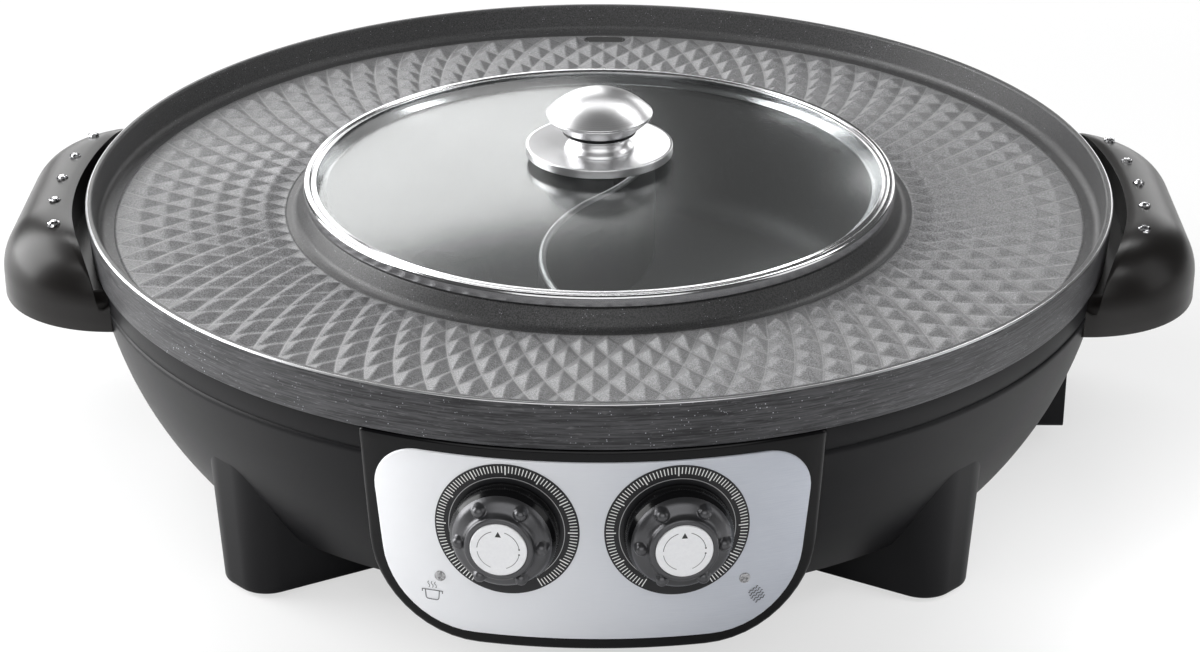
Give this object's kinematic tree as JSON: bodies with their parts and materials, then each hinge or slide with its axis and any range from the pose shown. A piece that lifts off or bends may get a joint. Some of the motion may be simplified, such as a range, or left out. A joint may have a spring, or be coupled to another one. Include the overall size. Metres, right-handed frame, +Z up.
{
  "type": "electric hot pot",
  "caption": "Round electric grill pan with a divided hot pot in its middle under a domed glass lid, on a heated black base with a front panel of dials and side handles.",
  "frame": {"origin": "on the table, under the centre of the pan", "axes": "+Z up, the dials face -Y, the handles lie along X with the mains inlet on +X"},
  "size_m": [0.4846, 0.4332, 0.1542],
  "materials": {
    "nonstick": "speckled non-stick coating on die-cast aluminium",
    "steel": "satin",
    "satin_steel": "satin, turned",
    "sheet_steel": "plain zinc-coated sheet",
    "glass": "clear tempered glass",
    "black_plastic": "satin black",
    "gloss_black": "gloss black",
    "rubber": "matte",
    "silver_plate": "silver film, satin",
    "gunmetal": "gunmetal, glossy",
    "ceramic": "plain",
    "clear_lens": "clear, unlit, faceted inside",
    "lamp_glass": "neon bulb",
    "stone_set": "cut clear stones",
    "brass": "bright",
    "aluminium": "bright sheet"
  },
  "bodies": {
    "base": {"appliance_inlet": "black_plastic", "bottom_cover": "sheet_steel", "bottom_cover_screws": "steel", "control_fascia": "gloss_black", "dial_scale_left": "gloss_black", "dial_scale_right": "gloss_black", "fascia_screws": "steel", "foot_pads": "rubber", "grill_element_clips": "sheet_steel", "grill_heating_element": "steel", "handle_gems_left": "stone_set", "handle_gems_right": "stone_set", "handle_left": "gloss_black", "handle_right": "gloss_black", "handle_screws_left": "steel", "handle_screws_right": "steel", "heat_reflector": "aluminium", "housing_bowl": "black_plastic", "housing_legs": "black_plastic", "indicator_lamp_left": "lamp_glass", "indicator_lamp_right": "lamp_glass", "indicator_lens_left": "clear_lens", "indicator_lens_right": "clear_lens", "inlet_contacts": "brass", "inlet_housing": "black_plastic", "panel_plate": "silver_plate", "pot_element_clips": "sheet_steel", "pot_heating_element": "steel", "reflector_screws": "steel", "terminal_block": "ceramic", "thermal_cutout": "ceramic", "thermostat_left": "ceramic", "thermostat_nuts": "steel", "thermostat_right": "ceramic", "tray_guide": "black_plastic", "upper_ring": "black_plastic"},
    "pan": {"grill_pan": "nonstick"},
    "lid": {"lid_rim": "steel", "lid_glass": "glass", "lid_knob_dish": "steel", "lid_knob_neck": "steel", "lid_neck_ring": "black_plastic", "lid_knob": "satin_steel", "lid_washer": "steel", "lid_screw": "steel"},
    "left_dial": {"knob_left": "gunmetal", "knob_label_left": "silver_plate", "thermostat_shaft_left": "steel"},
    "right_dial": {"knob_right": "gunmetal", "knob_label_right": "silver_plate", "thermostat_shaft_right": "steel"},
    "tray": {"drip_tray": "black_plastic"}
  },
  "joints": [
    {"name": "pan_lift", "type": "slide", "parent": "base", "child": "pan", "axis": [0, 0, 1], "range_m": [0, 0.15]},
    {"name": "lid_lift", "type": "slide", "parent": "pan", "child": "lid", "axis": [0, 0, 1], "range_m": [0, 0.12]},
    {"name": "left_dial_turn", "type": "hinge", "parent": "base", "child": "left_dial", "pos_m": [-0.0329, -0.22198, 0.066], "axis": [-0.1466, -0.9892, 0], "range_deg": [-150, 150]},
    {"name": "right_dial_turn", "type": "hinge", "parent": "base", "child": "right_dial", "pos_m": [0.0329, -0.22198, 0.066], "axis": [0.1466, -0.9892, 0], "range_deg": [-150, 150]},
    {"name": "tray_slide", "type": "slide", "parent": "base", "child": "tray", "axis": [0, 1, 0], "range_m": [0, 0.045]}
  ]
}
